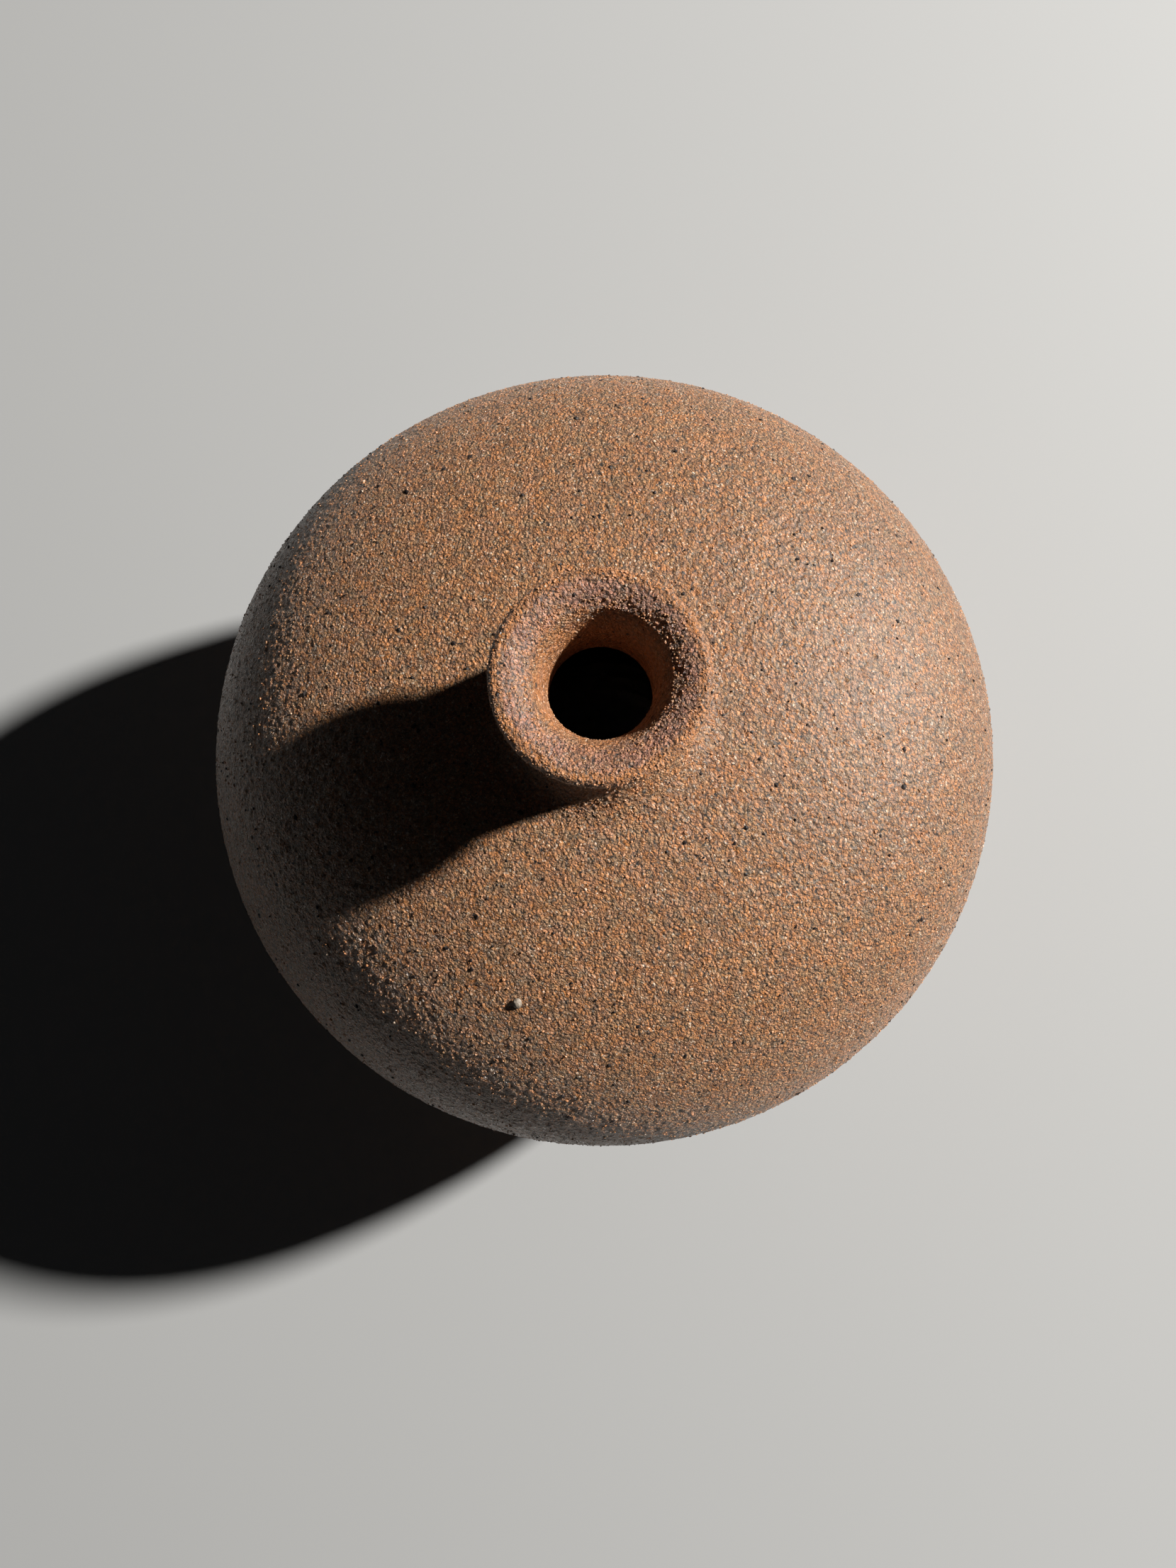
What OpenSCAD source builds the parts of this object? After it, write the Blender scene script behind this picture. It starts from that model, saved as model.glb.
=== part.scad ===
// Round bud vase in coarse stoneware: a thrown bowl, a domed shoulder, a flared neck and a foot ring,
// luted together with slip and lined with poured glaze. The axis is Z and the foot rests on Z = 0.

/* [Body] */
// Widest diameter of the body
body_w = 120; // [110:1:150]
// Height of the widest line above the table
equator_h = 54; // [46:1:66]
// Rise of the shoulder's crown above the widest line
shoulder_rise = 36; // [30:1:44]
// Fullness of the shoulder, where 2 is a true ellipse
shoulder_power = 2.4; // [2:0.05:2.8]
// Fullness of the lower bowl, where 2 is a true ellipse
bowl_power = 2.2; // [2:0.05:2.6]
// Thickness of the clay wall
wall_t = 4.5; // [4:0.25:6]
// Thickness of the floor inside the foot ring
floor_t = 5; // [4:0.5:7]

/* [Neck] */
// Height of the lip above the crown of the shoulder
neck_rise = 18; // [16:0.5:24]
// Diameter of the neck at its waist
neck_w = 20.8; // [19.6:0.2:24]
// Height of the waist above the crown of the shoulder
neck_waist_h = 10.5; // [9:0.5:12]
// Diameter over the flared lip
lip_w = 26.4; // [25:0.2:32]
// Radius of the rounded edge of the lip
lip_edge_r = 1.3; // [0.8:0.1:1.6]
// Diameter of the throat's mouth, where the funnel of the lip ends
mouth_w = 17.2; // [16.4:0.2:18.8]
// Depth of the throat's mouth below the top of the lip
mouth_drop = 1.3; // [1.2:0.1:2]
// Diameter of the straight throat
throat_w = 12.8; // [10:0.2:13.6]
// Depth of the straight throat below the top of the lip
throat_drop = 7; // [6.4:0.2:8.4]
// Length of the straight throat
throat_len = 4.5; // [3:0.1:4.8]
// Diameter at which the root of the neck runs on to the shoulder
root_w = 33; // [31:0.5:36]

/* [Foot] */
// Diameter of the foot ring where it meets the bowl
foot_w = 60; // [50:1:70]
// Height of the foot ring
foot_h = 3.5; // [3:0.1:3.9]
// Width of the foot ring's clay
foot_band = 5.5; // [5:0.5:8]
// Radius of the rounded edges of the foot ring
foot_edge_r = 0.9; // [0.5:0.1:1.2]

/* [Seams and glaze] */
// Height of the lap where the bowl and the shoulder join
lap_h = 3; // [2.5:0.5:5]
// Thickness of the slip in each scored seam
slip_t = 0.4; // [0.3:0.05:0.5]
// Thickness of the glaze that lines the inside
glaze_t = 0.4; // [0.3:0.05:0.6]

/* [Proud grain] */
// Diameter of the one coarse grain that stands out of the shoulder
grain_w = 1.6; // [1:0.1:2.4]
// Distance of the grain from the axis
grain_reach = 39.5; // [30:0.5:50]
// Bearing of the grain around the axis, from +X towards +Y
grain_bearing = -108; // [-180:1:180]

/* [Hidden] */
$fn = 128;

// Steps along each long curve and each small rounded edge
curve_steps = 32;
edge_steps = 8;

// Radii that follow from the driving sizes
body_r = body_w / 2;
inner_r = body_r - wall_t;
foot_r = foot_w / 2;
root_r = root_w / 2;
waist_r = neck_w / 2;
lip_r = lip_w / 2;
mouth_r = mouth_w / 2;
throat_r = throat_w / 2;

// Heights that follow from the driving sizes
crown_z = equator_h + shoulder_rise;
waist_z = crown_z + neck_waist_h;
lip_z = crown_z + neck_rise;
mouth_z = lip_z - mouth_drop;
throat_z = lip_z - throat_drop;
floor_z = foot_h + floor_t;

// Rise and fall of the inside face from the widest line
inner_rise = shoulder_rise - wall_t;
inner_drop = equator_h - floor_z;

// The bowl's full drop, were its curve to run on to the axis below the foot
bowl_drop = (equator_h - foot_h) / pow(1 - pow(foot_r / body_r, bowl_power), 1 / bowl_power);

// The lap of the equator joint lies at the middle of the wall
lap_r = body_r - wall_t / 2;

// The neck stands in a rebate half as deep as the wall, around the hole in the shoulder
seat_z = crown_z - wall_t / 2;
hole_r = throat_r + 5;

// Scored grooves hold the slip, clear of the edges of each joint
score_inset = 0.7;
neck_score_r = hole_r + score_inset;
neck_score_w = root_r - hole_r - 2 * score_inset - 1;
foot_score_r = foot_r - foot_band + 1.2;
foot_score_w = foot_band - 2.6;

// Shades of the fired clay, the slip, the glaze and the stone grain
clay = [0.58, 0.37, 0.23];
dark_clay = [0.5, 0.31, 0.19];
slip = [0.42, 0.27, 0.18];
glaze = [0.36, 0.2, 0.11];
stone = [0.72, 0.68, 0.62];

// Height of a full curve with this half width and rise, at radius r
function curve_z(half_w, rise, power, r) =
    equator_h + rise * pow(1 - pow(r / half_w, power), 1 / power);

// Points on a full curve, from its widest point in to radius end_r. A negative rise runs down.
function full_curve(half_w, rise, power, end_r) =
    let (end_a = acos(pow(end_r / half_w, power / 2)))
    [for (i = [0:curve_steps])
        let (a = end_a * i / curve_steps)
        [half_w * pow(cos(a), 2 / power), equator_h + rise * pow(sin(a), 2 / power)]];

// Points on a cubic curve from a to d that leaves towards b and arrives from c
function sweep(a, b, c, d) =
    [for (i = [0:curve_steps])
        let (t = i / curve_steps, s = 1 - t)
        s * s * s * a + 3 * s * s * t * b + 3 * s * t * t * c + t * t * t * d];

// Points on a round edge about a centre
function edge(centre, r, from_a, to_a) =
    [for (i = [0:edge_steps])
        let (a = from_a + (to_a - from_a) * i / edge_steps)
        centre + r * [cos(a), sin(a)]];

// A list without its first point, which the curve before it already holds
function onward(points) = [for (i = [1:len(points) - 1]) points[i]];

function reversed(points) = [for (i = [len(points) - 1:-1:0]) points[i]];

// The part of a list of points that lies above the lap of the equator joint
function above_lap(points) = [for (p = points) if (p[1] > equator_h + lap_h + 0.2) p];

// Outside face of the shoulder at the root of the neck
root_z = curve_z(body_r, shoulder_rise, shoulder_power, root_r);

// The grain's centre lies a fifth of its width under the skin of the shoulder
grain_z = curve_z(body_r, shoulder_rise, shoulder_power, grain_reach) - grain_w / 5;

module grain() {
    rotate([0, 0, grain_bearing])
        translate([grain_reach, 0, grain_z])
            sphere(d = grain_w);
}

module ring(inside_r, outside_r, low_z, high_z) {
    translate([0, 0, low_z])
        difference() {
            cylinder(r = outside_r, h = high_z - low_z);
            translate([0, 0, -1])
                cylinder(r = inside_r, h = high_z - low_z + 2);
        }
}

// Lower half of the body: a round bowl whose rim ends in a tongue on the inner half of the wall
module lower_bowl() {
    outside = full_curve(body_r, -bowl_drop, bowl_power, foot_r);
    inside = full_curve(inner_r, -inner_drop, bowl_power, 0);
    tongue = [[lap_r, equator_h], [lap_r, equator_h + lap_h], [inner_r, equator_h + lap_h]];
    color(clay)
        difference() {
            rotate_extrude()
                polygon(concat([[0, foot_h]], reversed(outside), tongue, inside));
            ring(lap_r - slip_t, lap_r + 1, equator_h + score_inset, equator_h + lap_h - score_inset);
            ring(foot_score_r, foot_score_r + foot_score_w, foot_h - 1, foot_h + slip_t);
        }
}

// Upper half of the body: a full shoulder that closes in to the seat of the neck
module shoulder_dome() {
    outside = full_curve(body_r, shoulder_rise, shoulder_power, root_r);
    inside = full_curve(inner_r, inner_rise, shoulder_power, hole_r);
    seat = [[root_r, seat_z], [hole_r, seat_z]];
    socket = [[inner_r, equator_h + lap_h], [lap_r, equator_h + lap_h], [lap_r, equator_h]];
    color(clay)
        difference() {
            rotate_extrude()
                polygon(concat(outside, seat, reversed(above_lap(inside)), socket));
            ring(neck_score_r, neck_score_r + neck_score_w, seat_z - slip_t, seat_z + 1);
            grain();
        }
}

// Short waisted neck: a flared lip with a rounded edge, a shallow funnel and a straight throat,
// which opens out again below to follow the root of the neck
module neck() {
    root_lean = (root_r - waist_r) * 0.85;
    under_lip_a = -50;
    edge_centre = [lip_r - lip_edge_r, lip_z - lip_edge_r];
    root = sweep(
        [root_r, root_z],
        [root_r - root_lean, root_z + root_lean * 0.1],
        [waist_r, crown_z + neck_waist_h * 0.35],
        [waist_r, waist_z]);
    flare = sweep(
        [waist_r, waist_z],
        [waist_r, waist_z + (edge_centre[1] - waist_z) * 0.6],
        edge_centre + lip_edge_r * [-0.2, -2],
        edge_centre + lip_edge_r * [cos(under_lip_a), sin(under_lip_a)]);
    rim = edge(edge_centre, lip_edge_r, under_lip_a, 90);
    funnel = sweep(
        edge_centre + [0, lip_edge_r],
        edge_centre + [-1.6, lip_edge_r],
        [mouth_r + 0.75, mouth_z + 0.5],
        [mouth_r, mouth_z]);
    narrowing = sweep(
        [mouth_r, mouth_z],
        [mouth_r - 0.6, mouth_z - 0.4],
        [throat_r, throat_z + 2.6],
        [throat_r, throat_z]);
    opening_out = sweep(
        [throat_r, throat_z - throat_len],
        [throat_r, throat_z - throat_len - 3],
        [hole_r - 1, seat_z + 3],
        [hole_r, seat_z]);
    color(dark_clay)
        rotate_extrude()
            polygon(concat(
                root, onward(flare), onward(rim), onward(funnel), onward(narrowing),
                opening_out, [[root_r, seat_z]]));
}

// Ring that the vase stands on, with both lower edges rounded
module foot_ring() {
    inside_r = foot_r - foot_band;
    lean = 0.6;
    outer_edge = edge([foot_r - lean - foot_edge_r, foot_edge_r], foot_edge_r, -8, -90);
    inner_edge = edge([inside_r + lean + foot_edge_r, foot_edge_r], foot_edge_r, 270, 188);
    color(clay)
        rotate_extrude()
            polygon(concat([[inside_r, foot_h], [foot_r, foot_h]], outer_edge, inner_edge));
}

// Poured glaze that lines the cavity from the floor up to the hole under the neck
module liner_glaze() {
    bowl_face = full_curve(inner_r, -inner_drop, bowl_power, 0);
    bowl_skin = full_curve(inner_r - glaze_t, -inner_drop + glaze_t, bowl_power, 0);
    dome_face = full_curve(inner_r, inner_rise, shoulder_power, hole_r);
    dome_skin = full_curve(inner_r - glaze_t, inner_rise - glaze_t, shoulder_power, hole_r);
    color(glaze)
        rotate_extrude()
            polygon(concat(
                reversed(bowl_face), [[inner_r, equator_h + lap_h]], above_lap(dome_face),
                reversed(dome_skin), onward(bowl_skin)));
}

// Slip in the scored groove around the tongue of the bowl
module equator_slip() {
    color(slip)
        ring(lap_r - slip_t, lap_r, equator_h + score_inset, equator_h + lap_h - score_inset);
}

// Slip in the scored groove under the neck
module neck_slip() {
    color(slip)
        ring(neck_score_r, neck_score_r + neck_score_w, seat_z - slip_t, seat_z);
}

// Slip in the scored groove over the foot ring
module foot_slip() {
    color(slip)
        ring(foot_score_r, foot_score_r + foot_score_w, foot_h, foot_h + slip_t);
}

// One coarse grain of fired stone that stands out of the shoulder
module grog_pebble() {
    color(stone)
        grain();
}

lower_bowl();
shoulder_dome();
neck();
foot_ring();
liner_glaze();
equator_slip();
neck_slip();
foot_slip();
grog_pebble();
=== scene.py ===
import math

import bpy
import numpy as np
from mathutils import Matrix, Vector


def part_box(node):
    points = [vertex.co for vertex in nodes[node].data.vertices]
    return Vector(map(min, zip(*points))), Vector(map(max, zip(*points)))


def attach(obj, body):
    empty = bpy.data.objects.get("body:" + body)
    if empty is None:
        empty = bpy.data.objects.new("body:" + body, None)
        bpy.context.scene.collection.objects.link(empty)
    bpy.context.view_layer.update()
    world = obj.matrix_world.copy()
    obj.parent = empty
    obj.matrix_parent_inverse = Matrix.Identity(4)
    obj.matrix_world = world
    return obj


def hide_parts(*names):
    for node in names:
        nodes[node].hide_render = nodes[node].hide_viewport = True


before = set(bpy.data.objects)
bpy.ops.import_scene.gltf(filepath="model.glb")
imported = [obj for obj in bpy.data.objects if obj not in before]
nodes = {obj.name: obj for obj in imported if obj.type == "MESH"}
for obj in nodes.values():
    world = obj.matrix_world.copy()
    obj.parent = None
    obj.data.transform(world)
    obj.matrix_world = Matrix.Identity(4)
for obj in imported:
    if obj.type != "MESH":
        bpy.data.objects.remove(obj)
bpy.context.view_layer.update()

MM = 0.001

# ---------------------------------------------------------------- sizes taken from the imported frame

bowl_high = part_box("lower_bowl")[1]
dome_low, dome_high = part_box("shoulder_dome")
neck_low, neck_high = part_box("neck")
foot_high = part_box("foot_ring")[1]
pebble_low, pebble_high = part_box("grog_pebble")

body_r = bowl_high.x
equator_z = dome_low.z
lap_top_z = bowl_high.z
root_r = neck_high.x
root_z = dome_high.z
seat_z = neck_low.z
lip_z = neck_high.z
foot_r = foot_high.x
foot_h = foot_high.z

# Wall, floor and neck, as the part has them
wall = 4.5 * MM
floor_z = foot_h + 5 * MM
shoulder_rise = 36 * MM
shoulder_power = 2.4
bowl_power = 2.2
crown_z = equator_z + shoulder_rise
inner_r = body_r - wall
lap_r = body_r - wall / 2
waist_r = 10.4 * MM
waist_z = crown_z + 10.5 * MM
lip_r = 13.2 * MM
lip_edge_r = 1.3 * MM
mouth_r = 8.6 * MM
mouth_z = lip_z - 1.3 * MM
throat_r = 6.4 * MM
throat_z = lip_z - 7 * MM
throat_len = 4.5 * MM
hole_r = throat_r + 5 * MM
foot_band = 5.5 * MM
foot_edge_r = 0.9 * MM
bowl_drop = (equator_z - foot_h) / (1 - (foot_r / body_r) ** bowl_power) ** (1 / bowl_power)

# ---------------------------------------------------------------- outlines, as (radius, height) points


def full_curve(half_w, rise, power, end_r, count=900):
    """A full rounded outline from its widest point in to end_r. A negative rise runs down."""
    last = math.acos((end_r / half_w) ** (power / 2))
    angle = last * np.linspace(0, 1, count) ** 1.5
    reach = half_w * np.cos(angle) ** (2 / power)
    height = equator_z + rise * np.sin(angle) ** (2 / power)
    return np.stack([reach, height], 1)


def sweep(a, b, c, d, count=200):
    """A cubic curve from a to d that leaves towards b and arrives from c."""
    t = np.linspace(0, 1, count)[:, None]
    s = 1 - t
    a, b, c, d = (np.array(p) for p in (a, b, c, d))
    return s**3 * a + 3 * s**2 * t * b + 3 * s * t**2 * c + t**3 * d


def round_edge(centre, radius, start, end, count=40):
    angle = np.radians(np.linspace(start, end, count))
    return np.array(centre) + radius * np.stack([np.cos(angle), np.sin(angle)], 1)


def joined(*curves):
    """One line through several curves that meet end to end."""
    line = np.concatenate(curves)
    gap = np.linalg.norm(np.diff(line, axis=0), axis=1)
    return line[np.concatenate([[True], gap > 1e-7])]


def line(*points):
    return np.array(points, float)


# ---------------------------------------------------------------- relief of the fired clay


# Large odd numbers that stir the bits of a cell's whole-number place
CELL_STIR = (73856093, 19349663, 83492791)
SALT_STIR = 2654435761
ROUND_STIR = (0x45D9F3B, 0x119DE1F3, 0x344B3C55)
KEY_BITS = 0xFFFFFFFF
SHARE_BITS = 0xFFFFFF


def cell_random(cells, salt):
    """Three repeatable random numbers from 0 to 1 for each whole-number cell."""
    key = cells[:, 0] * CELL_STIR[0] ^ cells[:, 1] * CELL_STIR[1] ^ cells[:, 2] * CELL_STIR[2]
    key = (key ^ (salt * SALT_STIR)) & KEY_BITS
    out = []
    for multiplier in ROUND_STIR:
        key = ((key >> 16) ^ key) * multiplier & KEY_BITS
        out.append(((key >> 15) ^ key) & SHARE_BITS)
    return np.stack(out, 1) / float(SHARE_BITS + 1)


def nearest_grain(points, size, salt):
    """Distance to the nearest of the grains strewn about, in grain sizes, and that grain's tone."""
    in_cells = points / size
    base = np.floor(in_cells).astype(np.int64)
    best = np.full(len(points), np.inf)
    tone = np.zeros(len(points))
    for shift in np.ndindex(3, 3, 3):
        cell = base + np.array(shift) - 1
        spot = cell_random(cell, salt)
        far = np.linalg.norm(cell + spot - in_cells, axis=1)
        closer = far < best
        best = np.where(closer, far, best)
        tone = np.where(closer, cell_random(cell, salt + 7)[:, 0], tone)
    return best, tone


def lumps(points, size, salt):
    """Rounded grains from 0 to 1 high, each with a height of its own."""
    near, tone = nearest_grain(points, size, salt)
    return np.clip(1 - (near / 0.8) ** 2, 0, 1) * (0.3 + 0.7 * tone)


def swell(points):
    """Slow unevenness of a hand-thrown wall, from -1 to 1."""
    x, y, z = (points / (9 * MM)).T
    slow = np.sin(x + 1.3 * np.sin(0.7 * y + 0.4 * z)) * np.sin(y * 1.1 - 0.6 * z + 0.5)
    return 0.6 * slow + 0.4 * np.sin(0.31 * x - 0.45 * y + 0.5 * z + 1.0)


relief_depth = 0.24 * MM
seam_step = 0.42 * MM


def relief(points, fine):
    """How far the rough skin stands out from the smooth outline, which is never above it. fine
    goes from 0, the coarse skin of the body, to 1, the fine skin of the neck and foot."""
    coarse = 0.35 * lumps(points, 0.9 * MM, 1) + 0.65 * lumps(points, 0.6 * MM, 2)
    grain = lumps(points, 0.5 * MM, 3)
    height = coarse * (1 - 0.45 * fine) + 0.55 * fine * grain
    pit, tone = nearest_grain(points, 1.9 * MM, 4)
    pitted = np.clip(1 - pit / 0.3, 0, 1) * (tone > 0.8)
    height = height - 0.9 * pitted
    return relief_depth * (0.95 * height - 1 + 0.12 * (swell(points) - 1))


# ---------------------------------------------------------------- meshes


def stitch(low, high, low_start, high_start):
    """Triangles between two rings, given as sorted angles in turns."""
    a, b = len(low), len(high)
    if a == 1:
        j = np.arange(b)
        return np.stack([np.full(b, low_start), high_start + (j + 1) % b, high_start + j], 1)
    if b == 1:
        i = np.arange(a)
        return np.stack([low_start + i, low_start + (i + 1) % a, np.full(a, high_start)], 1)
    low_mid = (low + np.append(low[1:], low[0] + 1)) / 2
    high_mid = (high + np.append(high[1:], high[0] + 1)) / 2
    i = np.arange(a)
    j = np.arange(b)
    apex_j = np.searchsorted(high_mid, low_mid) % b
    apex_i = np.searchsorted(low_mid, high_mid, side="right") % a
    first = np.stack([low_start + i, low_start + (i + 1) % a, high_start + apex_j], 1)
    second = np.stack([low_start + apex_i, high_start + (j + 1) % b, high_start + j], 1)
    return np.concatenate([first, second])


class Strand:
    """One stretch of an outline with its own mesh step and its own weight of relief."""

    def __init__(self, line, step, rough=None, jitter=0.0):
        self.line = np.asarray(line, float)
        gap = np.linalg.norm(np.diff(self.line, axis=0), axis=1)
        self.run = np.concatenate([[0], np.cumsum(gap)])
        self.step = step
        self.rough = rough
        self.jitter = jitter

    def at(self, distance):
        """Points (radius, height) and outward directions at distances along the line."""
        reach = np.interp(distance, self.run, self.line[:, 0])
        height = np.interp(distance, self.run, self.line[:, 1])
        slope = np.gradient(self.line, self.run, axis=0)
        along_r = np.interp(distance, self.run, slope[:, 0])
        along_z = np.interp(distance, self.run, slope[:, 1])
        length = np.hypot(along_r, along_z)
        return np.stack([reach, height], 1), np.stack([along_z, -along_r], 1) / length[:, None]

    def skin(self, distance, turn):
        """Points on the rough skin, and outward directions, at distances and turns round the axis."""
        spot, out = self.at(distance)
        angle = 2 * math.pi * turn
        around = np.stack([np.cos(angle), np.sin(angle), np.zeros_like(angle)], 1)
        up = np.array([0, 0, 1.0])
        place = around * spot[:, :1] + up * spot[:, 1:]
        normal = around * out[:, :1] + up * out[:, 1:]
        if self.rough is not None:
            place = place + normal * self.rough(place)[:, None]
        return place, normal


def mesh_object(name, points, faces, sharp_rings=(), smooth=True):
    mesh = bpy.data.meshes.new(name)
    mesh.vertices.add(len(points))
    mesh.vertices.foreach_set("co", points.astype(np.float32).ravel())
    mesh.loops.add(faces.size)
    mesh.loops.foreach_set("vertex_index", faces.astype(np.int32).ravel())
    mesh.polygons.add(len(faces))
    mesh.polygons.foreach_set("loop_start", np.arange(0, faces.size, 3, dtype=np.int32))
    mesh.update(calc_edges=True)
    mesh.polygons.foreach_set("use_smooth", np.full(len(faces), smooth))
    if sharp_rings:
        ring_of = np.full(len(points), -1)
        for k, (start, count) in enumerate(sharp_rings):
            ring_of[start : start + count] = k
        ends = np.zeros(len(mesh.edges) * 2, np.int32)
        mesh.edges.foreach_get("vertices", ends)
        ends = ring_of[ends.reshape(-1, 2)]
        sharp = (ends[:, 0] == ends[:, 1]) & (ends[:, 0] >= 0)
        mark = mesh.attributes.new("sharp_edge", "BOOLEAN", "EDGE")
        mark.data.foreach_set("value", sharp)
    mesh.update()
    made = bpy.data.objects.new(name, mesh)
    bpy.context.scene.collection.objects.link(made)
    return made


def lathe(name, strands, seed, closed, smooth=False):
    """A closed solid turned from strands that meet end to end. closed is False when both ends of
    the outline lie on the axis. A rough skin keeps its facets, and smooth is for a turned one. The
    ring where a rough strand ends belongs to it, so that the next strand meets the same relief."""
    rng = np.random.default_rng(seed)
    rings = []
    corners = []
    for k, strand in enumerate(strands):
        total = strand.run[-1]
        count = max(2, round(total / strand.step))
        corners.append(len(rings))
        before = strands[k - 1]
        shares = (k > 0 or closed) and before.rough is not None
        rings.append((before, before.run[-1], 0.0) if shares else (strand, 0.0, 0.0))
        for mark in np.linspace(0, total, count + 1)[1:-1]:
            rings.append((strand, mark, total / count))
    if not closed:
        corners.append(len(rings))
        rings.append((strands[-1], strands[-1].run[-1], 0.0))
    places, turns, starts = [], [], []
    total = 0
    for strand, mark, room in rings:
        reach = strand.at(np.array([mark]))[0][0, 0]
        step = strand.step if room or strand.rough is None else seam_step
        count = 1 if reach < 1e-6 else max(24, round(2 * math.pi * reach / step))
        turn = (np.arange(count) + rng.uniform() * (room > 0)) / count
        shake = strand.jitter * rng.uniform(-0.5, 0.5, (2, count)) * (room > 0)
        turn = turn + shake[0] / count
        distance = np.full(count, mark) + shake[1] * room
        if count == 1:
            turn = np.zeros(1)
        place, _ = strand.skin(distance, turn)
        places.append(place)
        turns.append(turn)
        starts.append(total)
        total += count
    faces = []
    for k in range(len(rings) - 1):
        faces.append(stitch(turns[k], turns[k + 1], starts[k], starts[k + 1]))
    if closed:
        faces.append(stitch(turns[-1], turns[0], starts[-1], starts[0]))
    sharp = [(starts[k], len(turns[k])) for k in corners if len(turns[k]) > 1]
    return mesh_object(name, np.concatenate(places), np.concatenate(faces), sharp, smooth)


# ---------------------------------------------------------------- the outlines of each piece

shoulder_line = full_curve(body_r, shoulder_rise, shoulder_power, root_r)
bowl_line = full_curve(body_r, -bowl_drop, bowl_power, foot_r)
inner_shoulder = full_curve(inner_r, shoulder_rise - wall, shoulder_power, hole_r)
inner_bowl = full_curve(inner_r, -(equator_z - floor_z), bowl_power, 0)
inner_shoulder = inner_shoulder[inner_shoulder[:, 1] > lap_top_z + 0.2 * MM]

lean = (root_r - waist_r) * 0.85
rim_r = 0.8 * lip_edge_r
edge_centre = np.array([lip_r - rim_r, lip_z - rim_r - 0.02 * MM])
under_lip = math.radians(-50)
neck_root = sweep(
    [root_r, root_z],
    [root_r - lean, root_z + lean * 0.1],
    [waist_r, crown_z + (waist_z - crown_z) * 0.35],
    [waist_r, waist_z],
)
flare = sweep(
    [waist_r, waist_z],
    [waist_r, waist_z + (edge_centre[1] - waist_z) * 0.6],
    edge_centre + rim_r * np.array([-0.2, -2]),
    edge_centre + rim_r * np.array([math.cos(under_lip), math.sin(under_lip)]),
)
rim = round_edge(edge_centre, rim_r, -50, 90)
funnel = sweep(
    edge_centre + [0, rim_r],
    edge_centre + [-1.6 * MM, rim_r],
    [mouth_r + 0.75 * MM, mouth_z + 0.5 * MM],
    [mouth_r, mouth_z],
)
narrowing = sweep(
    [mouth_r, mouth_z],
    [mouth_r - 0.6 * MM, mouth_z - 0.4 * MM],
    [throat_r, throat_z + 2.6 * MM],
    [throat_r, throat_z],
)
throat_foot = [throat_r, throat_z - throat_len]
opening_out = sweep(
    throat_foot,
    [throat_r, throat_foot[1] - 3 * MM],
    [hole_r - MM, seat_z + 3 * MM],
    [hole_r, seat_z],
)


def body_relief(points):
    return relief(points, np.zeros(len(points)))


def neck_relief(points):
    """Fine grain on the neck, which fades to the shoulder's coarser skin at the root."""
    reach = np.hypot(points[:, 0], points[:, 1])
    fine = np.clip((root_r - reach) / (1.5 * MM), 0, 1)
    inside = (reach < mouth_r - 0.3 * MM) | ((reach < waist_r - 0.2 * MM) & (points[:, 2] < mouth_z))
    calm = np.where(inside, 0.55, 0.95)
    calm = 1 + (calm - 1) * fine
    return relief(points, fine) * calm


def base_relief(points):
    """The spiral that a turning tool leaves under the bowl, inside the foot ring."""
    reach = np.hypot(points[:, 0], points[:, 1])
    turn = np.arctan2(points[:, 1], points[:, 0]) / (2 * math.pi)
    groove = 0.5 - 0.5 * np.cos(2 * math.pi * (reach / (2.4 * MM) - turn))
    fade = np.clip((foot_r - foot_band - 0.3 * MM - reach) / (1.5 * MM), 0, 1)
    grain = relief(points, np.ones(len(points)))
    return fade * (0.7 * grain - 0.18 * MM * groove)


def foot_relief(points):
    """Grain rubbed down underneath, and none where the ring meets the bowl."""
    height = points[:, 2]
    rubbed = 0.3 + 0.7 * np.clip(height / (1.5 * MM), 0, 1)
    fade = np.clip((foot_h - height) / (0.8 * MM), 0, 1)
    return relief(points, np.ones(len(points))) * rubbed * fade


shoulder_skin = Strand(shoulder_line, 0.432 * MM, body_relief, 0.5)
bowl_skin = Strand(bowl_line[::-1], 0.49 * MM, body_relief, 0.5)
neck_skin = Strand(
    joined(neck_root, flare, rim, funnel, narrowing, [throat_foot]), 0.165 * MM, neck_relief, 0.5
)


shoulder = lathe(
    "shoulder_clay",
    [
        shoulder_skin,
        Strand(line([root_r, root_z], [root_r, seat_z], [hole_r, seat_z]), MM),
        Strand(inner_shoulder[::-1], 2 * MM),
        Strand(line(inner_shoulder[0], [inner_r, lap_top_z], [lap_r, lap_top_z], [lap_r, equator_z],
                    [body_r, equator_z]), 1.5 * MM),
    ],
    11,
    True,
)

neck = lathe(
    "neck_clay",
    [
        neck_skin,
        Strand(opening_out, 0.4 * MM),
        Strand(line([hole_r, seat_z], [root_r, seat_z], [root_r, root_z]), MM),
    ],
    12,
    True,
)

bowl = lathe(
    "bowl_clay",
    [
        Strand(line([0, foot_h], [foot_r - foot_band, foot_h], [foot_r, foot_h]), 0.55 * MM, base_relief),
        bowl_skin,
        Strand(line([body_r, equator_z], [lap_r, equator_z], [lap_r, lap_top_z], [inner_r, lap_top_z],
                    [inner_r, equator_z]), 1.5 * MM),
        Strand(inner_bowl, 2 * MM),
    ],
    13,
    False,
)

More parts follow.
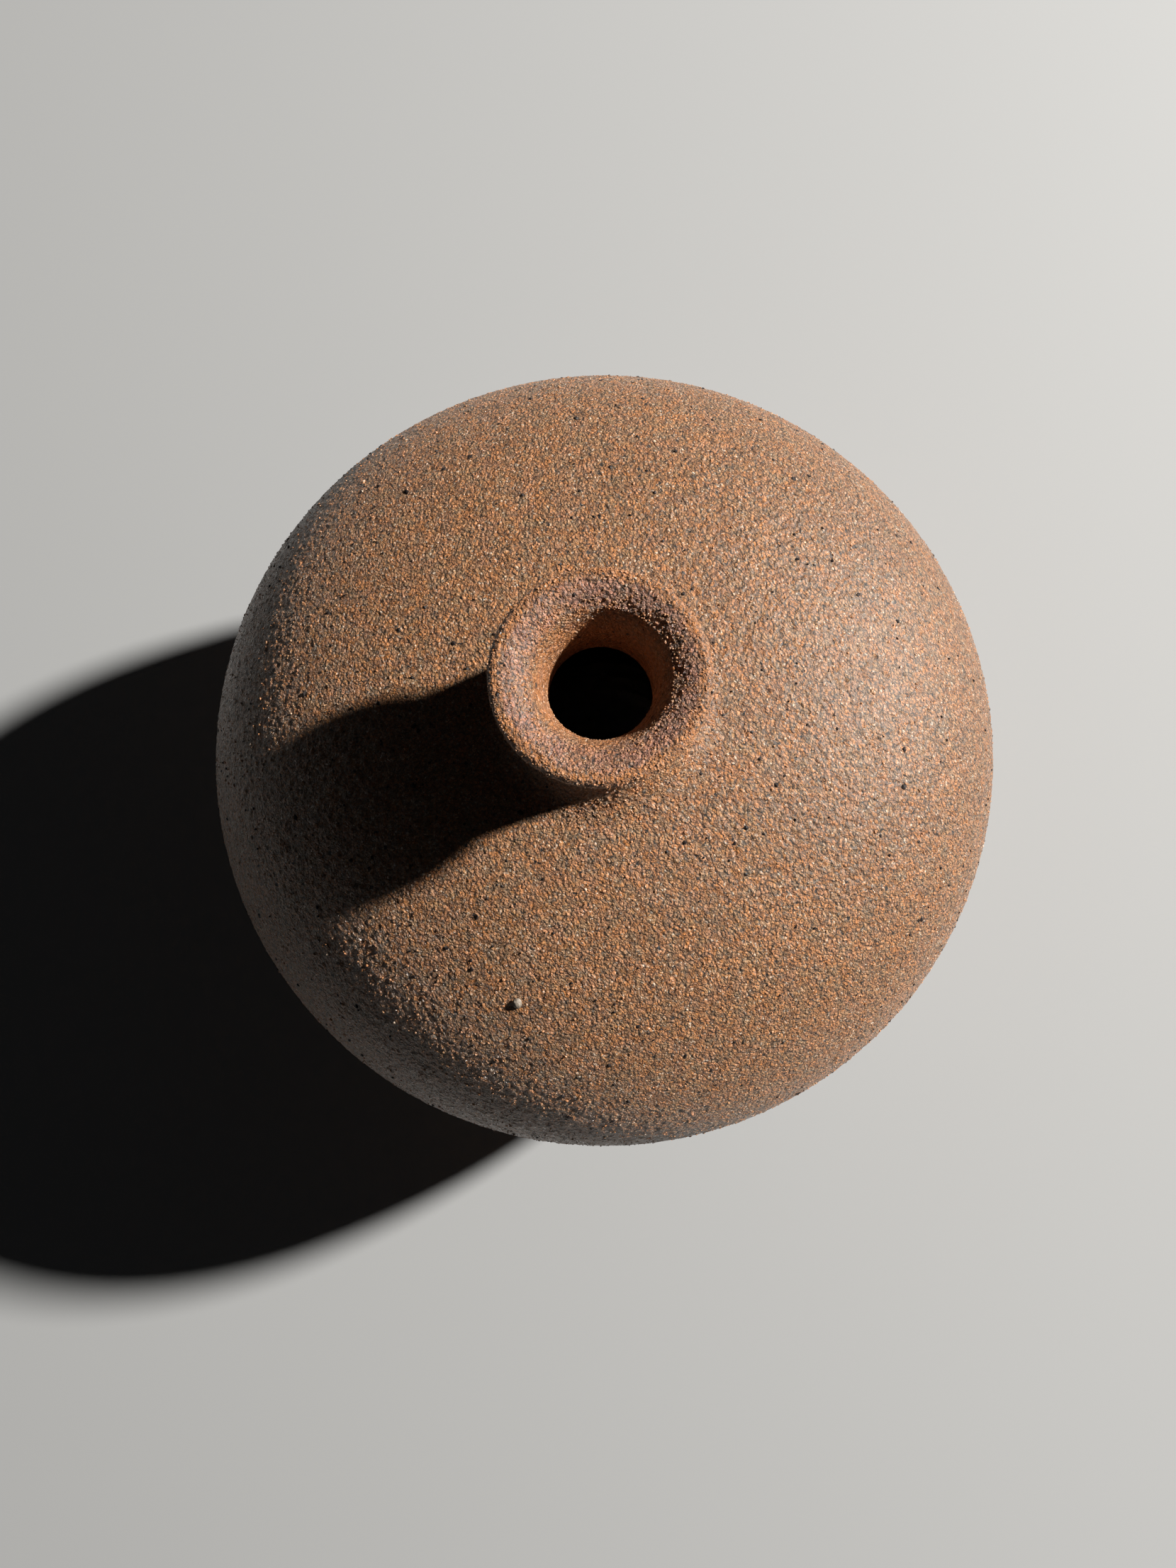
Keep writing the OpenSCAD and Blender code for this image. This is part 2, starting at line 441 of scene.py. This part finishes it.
foot_lean = 0.6 * MM
foot_in_r = foot_r - foot_band
foot = lathe(
    "foot_clay",
    [
        Strand(joined([[foot_in_r, foot_h]],
                      round_edge([foot_in_r + foot_lean + foot_edge_r, foot_edge_r], foot_edge_r, 188, 270),
                      round_edge([foot_r - foot_lean - foot_edge_r, foot_edge_r], foot_edge_r, 270, 352),
                      [[foot_r, foot_h]]), 0.33 * MM, foot_relief, 0.5),
        Strand(line([foot_r, foot_h], [foot_in_r, foot_h]), MM),
    ],
    14,
    True,
    True,
)

# ---------------------------------------------------------------- loose grains set in the skin

OCTAHEDRON = (
    np.array([[1, 0, 0], [-1, 0, 0], [0, 1, 0], [0, -1, 0], [0, 0, 1], [0, 0, -1]], float),
    np.array([[0, 2, 4], [2, 1, 4], [1, 3, 4], [3, 0, 4], [2, 0, 5], [1, 2, 5], [3, 1, 5], [0, 3, 5]]),
)


def icosahedron():
    golden = (1 + math.sqrt(5)) / 2
    corner = np.array(
        [[-1, golden, 0], [1, golden, 0], [-1, -golden, 0], [1, -golden, 0],
         [0, -1, golden], [0, 1, golden], [0, -1, -golden], [0, 1, -golden],
         [golden, 0, -1], [golden, 0, 1], [-golden, 0, -1], [-golden, 0, 1]]
    ) / math.hypot(1, golden)
    face = np.array(
        [[0, 11, 5], [0, 5, 1], [0, 1, 7], [0, 7, 10], [0, 10, 11], [1, 5, 9], [5, 11, 4],
         [11, 10, 2], [10, 7, 6], [7, 1, 8], [3, 9, 4], [3, 4, 2], [3, 2, 6], [3, 6, 8], [3, 8, 9],
         [4, 9, 5], [2, 4, 11], [6, 2, 10], [8, 6, 7], [9, 8, 1]]
    )
    return corner, face


def turns_at_random(rng, count):
    """Random rotation matrices."""
    q = rng.normal(size=(count, 4))
    w, x, y, z = (q / np.linalg.norm(q, axis=1)[:, None]).T
    rows = [
        [1 - 2 * (y * y + z * z), 2 * (x * y - z * w), 2 * (x * z + y * w)],
        [2 * (x * y + z * w), 1 - 2 * (x * x + z * z), 2 * (y * z - x * w)],
        [2 * (x * z - y * w), 2 * (y * z + x * w), 1 - 2 * (x * x + y * y)],
    ]
    return np.array(rows).transpose(2, 0, 1)


def rocks(name, place, normal, ceiling, width, solid, rng):
    """Closed stone chips, one at each place, none standing above its ceiling. Each has one tone."""
    corner, face = solid
    count = len(place)
    shape = corner[None] * rng.uniform(0.72, 1.12, (count, len(corner), 1))
    shape = shape * rng.uniform(0.65, 1.0, (count, 1, 3))
    shape = np.einsum("nij,nkj->nki", turns_at_random(rng, count), shape)
    points = place[:, None] + shape * width[:, None, None] / 2
    over = np.einsum("nkj,nj->nk", points - place[:, None], normal).max(1) - ceiling
    points = points - (np.clip(over, 0, None)[:, None] * normal)[:, None]
    faces = (face[None] + np.arange(count)[:, None, None] * len(corner)).reshape(-1, 3)
    made = mesh_object(name, points.reshape(-1, 3), faces, smooth=False)
    tone = made.data.attributes.new("tone", "FLOAT", "POINT")
    tones = 0.5 + 0.5 * rng.uniform(-1, 1, count) ** 3
    tone.data.foreach_set("value", np.repeat(tones, len(corner)).astype(np.float32))
    return made


def scatter(name, strand, count, small, large, solid, seed, lift=0.1, span=(0.0, 1.0)):
    """Stone chips strewn evenly over the skin of a strand, between two shares of its length. Small
    ones are the commonest. lift is how far out, in widths, a chip's centre may stand."""
    rng = np.random.default_rng(seed)
    run = np.linspace(strand.run[-1] * span[0], strand.run[-1] * span[1], 2000)
    area = np.cumsum(strand.at(run)[0][:, 0])
    distance = np.interp(rng.uniform(0, area[-1], count), area, run)
    turn = rng.uniform(0, 1, count)
    width = small + (large - small) * rng.uniform(0, 1, count) ** 3
    smooth = Strand(strand.line, strand.step)
    outline, normal = smooth.skin(distance, turn)
    place, _ = strand.skin(distance, turn)
    place = place + normal * (width * rng.uniform(-0.25, lift, count))[:, None]
    ceiling = np.einsum("nj,nj->n", outline - place, normal)
    return rocks(name, place, normal, ceiling, width, solid, rng)


def share_at(strand, point):
    """Share of a strand's length at which it passes a point."""
    nearest = np.argmin(np.linalg.norm(strand.line - np.array(point), axis=1))
    return strand.run[nearest] / strand.run[-1]


thin = 1.0
sand_count = int(24000 * thin)
grog_count = int(4000 * thin)
neck_sand_count = int(9000 * thin)
iron_count = 500
ROUNDISH = icosahedron()
sand = (0.16 * MM, 0.4 * MM, OCTAHEDRON)
grog = (0.25 * MM, 0.7 * MM, ROUNDISH)
iron_size = (0.45 * MM, 1.5 * MM, ROUNDISH)
outer_neck = (0.0, 0.86)
mouth_share = share_at(neck_skin, [mouth_r, mouth_z])
mouth_band = (mouth_share - 0.02, mouth_share + 0.03)
throat_share = share_at(neck_skin, [throat_r, throat_z])
throat_band = (throat_share - 0.03, throat_share + 0.03)

upper_fine = scatter("upper_sand", shoulder_skin, sand_count, *sand, 21)
upper_coarse = scatter("upper_grog", shoulder_skin, grog_count, *grog, 22)
lower_fine = scatter("lower_sand", bowl_skin, sand_count, *sand, 23)
lower_coarse = scatter("lower_grog", bowl_skin, grog_count, *grog, 24)
neck_fine = scatter("neck_sand", neck_skin, neck_sand_count, 0.25 * MM, 0.6 * MM, OCTAHEDRON, 25,
                    0.15, outer_neck)
mouth_grains = scatter("mouth_grains", neck_skin, 260, 0.25 * MM, 0.55 * MM, ROUNDISH, 29,
                       0.5, mouth_band)
throat_grains = scatter("throat_grains", neck_skin, 160, 0.22 * MM, 0.5 * MM, ROUNDISH, 30,
                        0.4, throat_band)
specks = scatter("iron_specks", shoulder_skin, iron_count, *iron_size, 26, 0.3)
low_specks = scatter("iron_specks_low", bowl_skin, iron_count, *iron_size, 27, 0.3)
neck_specks = scatter("iron_specks_neck", neck_skin, 26, 0.4 * MM, 0.9 * MM, ROUNDISH, 28,
                      0.25, (0.0, 0.8))

# ---------------------------------------------------------------- materials


def put(tree, socket, value):
    if isinstance(value, bpy.types.NodeSocket):
        tree.links.new(value, socket)
    else:
        socket.default_value = value


def node(tree, kind, inputs=None, **settings):
    made = tree.nodes.new("ShaderNode" + kind)
    for name, value in settings.items():
        setattr(made, name, value)
    for name, value in (inputs or {}).items():
        put(tree, made.inputs[name], value)
    return made


def calc(tree, operation, a, b=0.0, c=0.0):
    made = node(tree, "Math", {0: a, 1: b, 2: c}, operation=operation)
    return made.outputs[0]


def vector(tree, operation, a, b=(0, 0, 0)):
    return node(tree, "VectorMath", {0: a, 1: b}, operation=operation).outputs[0]


def spread(tree, value, low, high, to_low=0.0, to_high=1.0):
    """A value stretched from one range to another and held inside it."""
    made = node(tree, "MapRange", {0: value, 1: low, 2: high, 3: to_low, 4: to_high})
    return made.outputs[0]


def blend(tree, factor, a, b):
    return node(tree, "Mix", {0: factor, 6: a, 7: b}, data_type="RGBA").outputs[2]


def ramp(tree, value, stops):
    made = node(tree, "ValToRGB", {0: value})
    while len(made.color_ramp.elements) < len(stops):
        made.color_ramp.elements.new(0.5)
    for element, (position, colour) in zip(made.color_ramp.elements, stops):
        element.position = position
        element.color = (*colour, 1)
    return made.outputs[0]


def scaled(tree, colour, factor):
    return node(tree, "VectorMath", {0: colour, "Scale": factor}, operation="SCALE").outputs[0]


def grey(level):
    return (level, level, level)


def own_place(tree):
    """The place on the piece, in the part's frame."""
    return node(tree, "TexCoord").outputs["Object"]


def noise(tree, place, size, detail=2.0, rough=0.5):
    inputs = {"Vector": place, "Scale": 1 / size, "Detail": detail, "Roughness": rough}
    return node(tree, "TexNoise", inputs)


def cloud(tree, place, size, detail=2.0, rough=0.5):
    """A cloudy value from 0 to 1."""
    return noise(tree, place, size, detail, rough).outputs["Fac"]


def wavered(tree, place, size, detail, reach):
    """The place moved about by up to half of reach, in swirls of a size."""
    colour = noise(tree, place, size, detail).outputs["Color"]
    swirl = vector(tree, "SUBTRACT", colour, (0.5, 0.5, 0.5))
    return vector(tree, "ADD", place, scaled(tree, swirl, reach))


def material(name):
    made = bpy.data.materials.new(name)
    made.use_nodes = True
    tree = made.node_tree
    tree.nodes.clear()
    shader = node(tree, "BsdfPrincipled")
    output = node(tree, "OutputMaterial")
    tree.links.new(shader.outputs[0], output.inputs[0])
    return made, tree, shader


def carve(tree, shader, height, depth):
    """Fine relief on a surface, from a height between 0 and 1."""
    bumped = node(tree, "Bump", {"Height": height, "Distance": depth, "Strength": 1.0})
    put(tree, shader.inputs["Normal"], bumped.outputs[0])


# Fired clay, its reduced and its pinkish patches, and the odd grains in it
ORANGE = (0.505, 0.200, 0.060, 1)
OLIVE = (0.310, 0.215, 0.115, 1)
PINK = (0.480, 0.225, 0.115, 1)
SOOT = (0.008, 0.005, 0.005, 1)
CHALK = (0.700, 0.600, 0.480, 1)
# The funnel, the crest of the lip and the throat, whose darker brown is painted shade
FUNNEL_PINK = (0.430, 0.195, 0.135, 1)
CREST_ORANGE = (0.520, 0.190, 0.045, 1)
THROAT_SHADE_BROWN = (0.300, 0.105, 0.028, 1)
# Brightness of the grains against their random tone
GRAIN_LEVELS = ((0.0, grey(0.5)), (0.15, grey(0.8)), (0.5, grey(1.0)), (0.85, grey(1.15)), (1.0, grey(1.4)))


def turned_place(tree, place):
    """The place in a skewed frame that wavers a little, so that no grain lines up with an axis."""
    turned = node(tree, "Mapping", {"Vector": place, "Rotation": (0.7, 1.1, 0.4)}).outputs[0]
    return wavered(tree, turned, 1.1 * MM, 2, 0.6 * MM)


def clay_colour(tree, place, tone):
    """Colour of the grogged clay: light and dark grains over patches of orange, olive and pink."""
    olive = spread(tree, cloud(tree, place, 1.6 * MM, 4, 0.72), 0.42, 0.64, 0.0, 0.65)
    pink = spread(tree, cloud(tree, place, 2.6 * MM, 4, 0.7), 0.48, 0.62, 0.0, 0.7)
    hue = blend(tree, olive, blend(tree, pink, ORANGE, PINK), OLIVE)
    colour = vector(tree, "MULTIPLY", hue, ramp(tree, tone, GRAIN_LEVELS))
    colour = blend(tree, spread(tree, tone, 0.94, 0.96, 0.0, 0.7), colour, CHALK)
    broad = spread(tree, cloud(tree, place, 14 * MM), 0.3, 0.7, 0.95, 1.05)
    return scaled(tree, colour, broad)


def cells(tree, place, size):
    """Cells packed side by side, and three random numbers for each."""
    cell = node(tree, "TexVoronoi", {"Vector": place, "Scale": 1 / size, "Randomness": 1.0})
    return cell, node(tree, "SeparateColor", {0: cell.outputs["Color"]}).outputs


def grains(tree, place, size):
    """Rounded grains packed side by side: their heights from 0 to 1, and their cells."""
    cell, chance = cells(tree, place, size)
    near = spread(tree, cell.outputs["Distance"], 0.0, 0.8)
    dome = calc(tree, "MULTIPLY_ADD", calc(tree, "MULTIPLY", near, near), -1.0, 1.0)
    tall = spread(tree, chance[1], 0.0, 1.0, 0.3, 1.0)
    return calc(tree, "MULTIPLY", dome, tall), cell, chance


grain_size = 0.43 * MM
small_grain_size = 0.55 * grain_size
speck_size = 1.1 * MM
# a faint fired skin that shines where the broad shape, not the grain, mirrors the light
sheen = 0.9
sheen_roughness = 0.6


def clay(name, gloss=0.6, bump_height=0.85 * MM, facet=0.5, zones=None):
    """Rough fired clay. gloss is the roughness of its dullest grains, facet how far a grain's face
    may tilt, and zones a function that colours and calms parts of the piece."""
    made, tree, shader = material(name)
    place = own_place(tree)
    warped = turned_place(tree, place)
    large, cell, chance = grains(tree, warped, grain_size)
    small, _, small_chance = grains(tree, warped, small_grain_size)
    colour = clay_colour(tree, warped, small_chance[0])
    calm = 1.0
    if zones:
        colour, calm = zones(tree, place, colour)
    # painted shade darkens the gaps between grains, and a faint painted highlight lightens their tops
    colour = scaled(tree, colour, spread(tree, large, 0.0, 0.5, 0.55, 1.08))
    # iron specks and chalky flecks, each a fraction of a millimetre across
    ragged = wavered(tree, warped, 0.35 * MM, 3, 0.9 * MM)
    speck, kind = cells(tree, ragged, speck_size)
    core = spread(tree, speck.outputs["Distance"], 0.15, 0.24, 1.0, 0.0)
    dark = calc(tree, "MULTIPLY", core, calc(tree, "GREATER_THAN", kind[0], 0.8))
    pale = calc(tree, "MULTIPLY", core, calc(tree, "LESS_THAN", kind[0], 0.02))
    colour = blend(tree, pale, blend(tree, dark, colour, SOOT), CHALK)
    put(tree, shader.inputs["Base Color"], colour)
    # a few grains are glassy, and burnt specks are dull
    glint = spread(tree, chance[2], 0.78, 0.84)
    dull = spread(tree, chance[1], 0.0, 1.0, gloss - 0.25, gloss)
    dull = calc(tree, "MULTIPLY_ADD", glint, -0.35, dull)
    put(tree, shader.inputs["Roughness"], calc(tree, "MULTIPLY_ADD", dark, 0.5, dull))
    put(tree, shader.inputs["Coat Weight"], sheen)
    put(tree, shader.inputs["Coat Roughness"], sheen_roughness)
    # relief of large and small grains, torn edges, pits at the burnt specks, and tilted facets
    torn = cloud(tree, warped, 0.3 * MM, 4, 0.7)
    height = calc(tree, "MULTIPLY_ADD", small, 0.5, large)
    height = calc(tree, "MULTIPLY_ADD", torn, 0.7, height)
    height = calc(tree, "MULTIPLY_ADD", dark, -0.5, height)
    bump = node(tree, "Bump", {"Height": height, "Distance": bump_height, "Strength": calm})
    tilt = vector(tree, "SUBTRACT", cell.outputs["Color"], (0.5, 0.5, 0.5))
    tilt = scaled(tree, tilt, calc(tree, "MULTIPLY", calm, facet) if zones else facet)
    normal = vector(tree, "NORMALIZE", vector(tree, "ADD", bump.outputs[0], tilt))
    put(tree, shader.inputs["Normal"], normal)
    return made


def neck_zones(tree, place, colour):
    """The funnel fired pinkish brown, the crest of the lip stayed orange, and the throat is smooth, with
    painted shade darkening its wall.
    """
    parts = node(tree, "SeparateXYZ", {0: place}).outputs
    square = calc(tree, "MULTIPLY", parts[0], parts[0])
    square = calc(tree, "MULTIPLY_ADD", parts[1], parts[1], square)
    true_reach = calc(tree, "SQRT", square)
    waver = cloud(tree, place, 3 * MM)
    reach = calc(tree, "MULTIPLY_ADD", waver, 1.6 * MM, true_reach)
    reach = calc(tree, "SUBTRACT", reach, 0.8 * MM)
    top = spread(tree, parts[2], mouth_z - 1.6 * MM, mouth_z - 0.2 * MM)
    within = spread(tree, reach, lip_r - 2.0 * MM, lip_r - 1.2 * MM, 1.0, 0.0)
    beyond = spread(tree, reach, mouth_r - 1.2 * MM, mouth_r + 0.6 * MM)
    face = calc(tree, "MULTIPLY", top, calc(tree, "MULTIPLY", within, beyond))
    rim_top = spread(tree, parts[2], lip_z - 3.5 * MM, lip_z - 2 * MM)
    crest = calc(tree, "MULTIPLY", rim_top, calc(tree, "SUBTRACT", 1.0, within))
    dusk = spread(tree, cloud(tree, place, 2.2 * MM, 4, 0.7), 0.4, 0.58, 0.3, 0.85)
    colour = blend(tree, calc(tree, "MULTIPLY", face, dusk), colour, FUNNEL_PINK)
    colour = blend(tree, calc(tree, "MULTIPLY", crest, 0.65), colour, CREST_ORANGE)
    wall_reach = spread(tree, true_reach, mouth_r - 1.4 * MM, mouth_r - 0.4 * MM)
    # painted shade: the wall inside the mouth is darkened toward a deep brown
    throat = calc(tree, "SUBTRACT", 1.0, wall_reach)
    colour = blend(tree, calc(tree, "MULTIPLY", throat, 0.65), colour, THROAT_SHADE_BROWN)
    return colour, spread(tree, wall_reach, 0.0, 1.0, 0.6, 1.0)


def stone(name):
    """Chips of grog, sand and feldspar, one tone to each chip."""
    made, tree, shader = material(name)
    place = own_place(tree)
    tone = node(tree, "Attribute", attribute_name="tone").outputs["Fac"]
    mica = cloud(tree, place, 0.15 * MM, 3, 0.7)
    colour = clay_colour(tree, turned_place(tree, place), tone)
    colour = scaled(tree, colour, spread(tree, mica, 0.3, 0.7, 0.75, 1.2))
    put(tree, shader.inputs["Base Color"], colour)
    # the tone's finer digits pick the glassy chips
    digits = calc(tree, "FRACT", calc(tree, "MULTIPLY", tone, 37.0))
    put(tree, shader.inputs["Roughness"], spread(tree, digits, 0.75, 0.9, 0.6, 0.25))
    put(tree, shader.inputs["Specular IOR Level"], 0.7)
    put(tree, shader.inputs["IOR"], 1.75)
    carve(tree, shader, mica, 0.1 * MM)
    return made


def mottled(name, size, detail, stops, roughness, depth, specular=0.5):
    """A surface whose colour, roughness and relief all follow one cloudy pattern."""
    made, tree, shader = material(name)
    pattern = cloud(tree, own_place(tree), size, detail, 0.6)
    put(tree, shader.inputs["Base Color"], ramp(tree, pattern, stops))
    put(tree, shader.inputs["Roughness"], spread(tree, pattern, 0.3, 0.7, *roughness))
    put(tree, shader.inputs["Specular IOR Level"], specular)
    carve(tree, shader, pattern, depth)
    return made


def wear(obj, made):
    obj.data.materials.clear()
    obj.data.materials.append(made)


body_clay = clay("body_clay")
wear(shoulder, body_clay)
wear(bowl, body_clay)
wear(neck, clay("lip_clay", zones=neck_zones))
wear(foot, clay("foot_clay_rubbed", bump_height=0.06 * MM, facet=0.3, gloss=0.8))

stone_chips = stone("stone_chips")
for piece in (upper_fine, upper_coarse, lower_fine, lower_coarse, neck_fine, mouth_grains, throat_grains):
    wear(piece, stone_chips)

# Blue-black melted iron, with a little gloss
IRON = ((0.4, (0.006, 0.005, 0.006)), (0.6, (0.030, 0.022, 0.020)), (0.8, (0.12, 0.09, 0.075)))
melted_iron = mottled("melted_iron", 0.2 * MM, 3, IRON, (0.35, 0.7), 0.05 * MM, 0.25)
for piece in (specks, low_specks, neck_specks):
    wear(piece, melted_iron)

# ---------------------------------------------------------------- the one proud grain

centre = (pebble_low + pebble_high) / 2
pebble_r = (pebble_high.x - pebble_low.x) / 2
bpy.ops.mesh.primitive_ico_sphere_add(subdivisions=4, radius=pebble_r)
pebble = bpy.context.object
pebble.name = "proud_grain"
corner = np.array([v.co for v in pebble.data.vertices])
rough = lumps(corner + 0.3, 0.9 * MM, 31) * 0.12 + lumps(corner + 0.1, 0.35 * MM, 32) * 0.06
corner = corner * (0.82 + rough[:, None]) + np.array(centre)
pebble.data.vertices.foreach_set("co", corner.astype(np.float32).ravel())
pebble.data.update()

PALE_STONE = ((0.3, (0.10, 0.08, 0.06)), (0.55, (0.24, 0.20, 0.16)), (0.75, (0.46, 0.41, 0.35)))
wear(pebble, mottled("pale_stone", 0.5 * MM, 3, PALE_STONE, (0.75, 0.45), 0.08 * MM))

# ---------------------------------------------------------------- the CAD pieces that show as they are

GLAZE = ((0.3, (0.075, 0.030, 0.014)), (0.7, (0.20, 0.09, 0.04)))
wear(nodes["liner_glaze"], mottled("poured_glaze", 7 * MM, 4, GLAZE, (0.15, 0.3), 0.2 * MM))
SLIP = ((0.3, (0.20, 0.105, 0.058)), (0.7, (0.36, 0.215, 0.13)))
slip = mottled("fired_slip", 0.6 * MM, 4, SLIP, (0.95, 0.75), 0.1 * MM)
for seam in ("equator_slip", "neck_slip", "foot_slip"):
    wear(nodes[seam], slip)

# ---------------------------------------------------------------- what rides, and what stands for what

for piece, node_name, slot_name in (
    (shoulder, "shoulder_dome", "stoneware"),
    (bowl, "lower_bowl", "stoneware"),
    (neck, "neck", "neck_clay"),
    (foot, "foot_ring", "foot_clay"),
    (pebble, "grog_pebble", "grain"),
):
    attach(piece, "root")
    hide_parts(node_name)
for piece in (upper_fine, upper_coarse, lower_fine, lower_coarse, specks, low_specks):
    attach(piece, "root")
for piece in (neck_fine, neck_specks, mouth_grains, throat_grains):
    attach(piece, "root")

# ---------------------------------------------------------------- floor, light and camera

bpy.ops.mesh.primitive_plane_add(size=6)
floor = bpy.context.object
floor.name = "floor"
floor_paint, tree, shader = material("pale_floor")
put(tree, shader.inputs["Base Color"], (0.36, 0.37, 0.38, 1))
put(tree, shader.inputs["Roughness"], 0.9)
wear(floor, floor_paint)

world = bpy.data.worlds.new("studio")
bpy.context.scene.world = world
world.use_nodes = True
background = world.node_tree.nodes["Background"]
background.inputs[0].default_value = (0.95, 0.97, 1.0, 1)
background.inputs[1].default_value = 0.012
bpy.context.scene.view_settings.view_transform = "Standard"


def area_light(name, bearing, elevation, distance, size, power, colour, aim):
    """A round soft box aimed at a point, from a bearing round the axis and an elevation."""
    turn = math.radians(bearing)
    rise = math.radians(elevation)
    flat = math.cos(rise)
    back = Vector((math.cos(turn) * flat, math.sin(turn) * flat, math.sin(rise)))
    lamp = bpy.data.lights.new(name, "AREA")
    lamp.shape = "DISK"
    lamp.size = size
    lamp.energy = power
    lamp.color = colour
    made = bpy.data.objects.new(name, lamp)
    made.location = aim + back * distance
    made.rotation_mode = "QUATERNION"
    made.rotation_quaternion = back.to_track_quat("Z", "Y")
    bpy.context.scene.collection.objects.link(made)


middle = Vector((0, 0, equator_z))
area_light("key", 19, 34, 1.6, 0.11, 66, (1.0, 0.96, 0.9), middle)

# The camera stands a hand's length over the vase and looks almost straight down
camera_away = 188.2 * MM
camera_tilt = math.radians(9.8)
camera_aim = middle + Vector((-2.47, -4.68, 0)) * MM
camera_up = Vector((0.0331, 0.9888, 0.1457))
data = bpy.data.cameras.new("camera")
data.sensor_width = 36
data.lens = 27.05
data.clip_start = 0.005
camera = bpy.data.objects.new("camera", data)
camera.location = middle + camera_away * Vector((0, -math.sin(camera_tilt), math.cos(camera_tilt)))
ahead = (camera_aim - camera.location).normalized()
right = ahead.cross(camera_up).normalized()
turned = Matrix((right, right.cross(ahead), -ahead)).transposed()
camera.rotation_mode = "QUATERNION"
camera.rotation_quaternion = turned.to_quaternion()
bpy.context.scene.collection.objects.link(camera)
bpy.context.scene.camera = camera
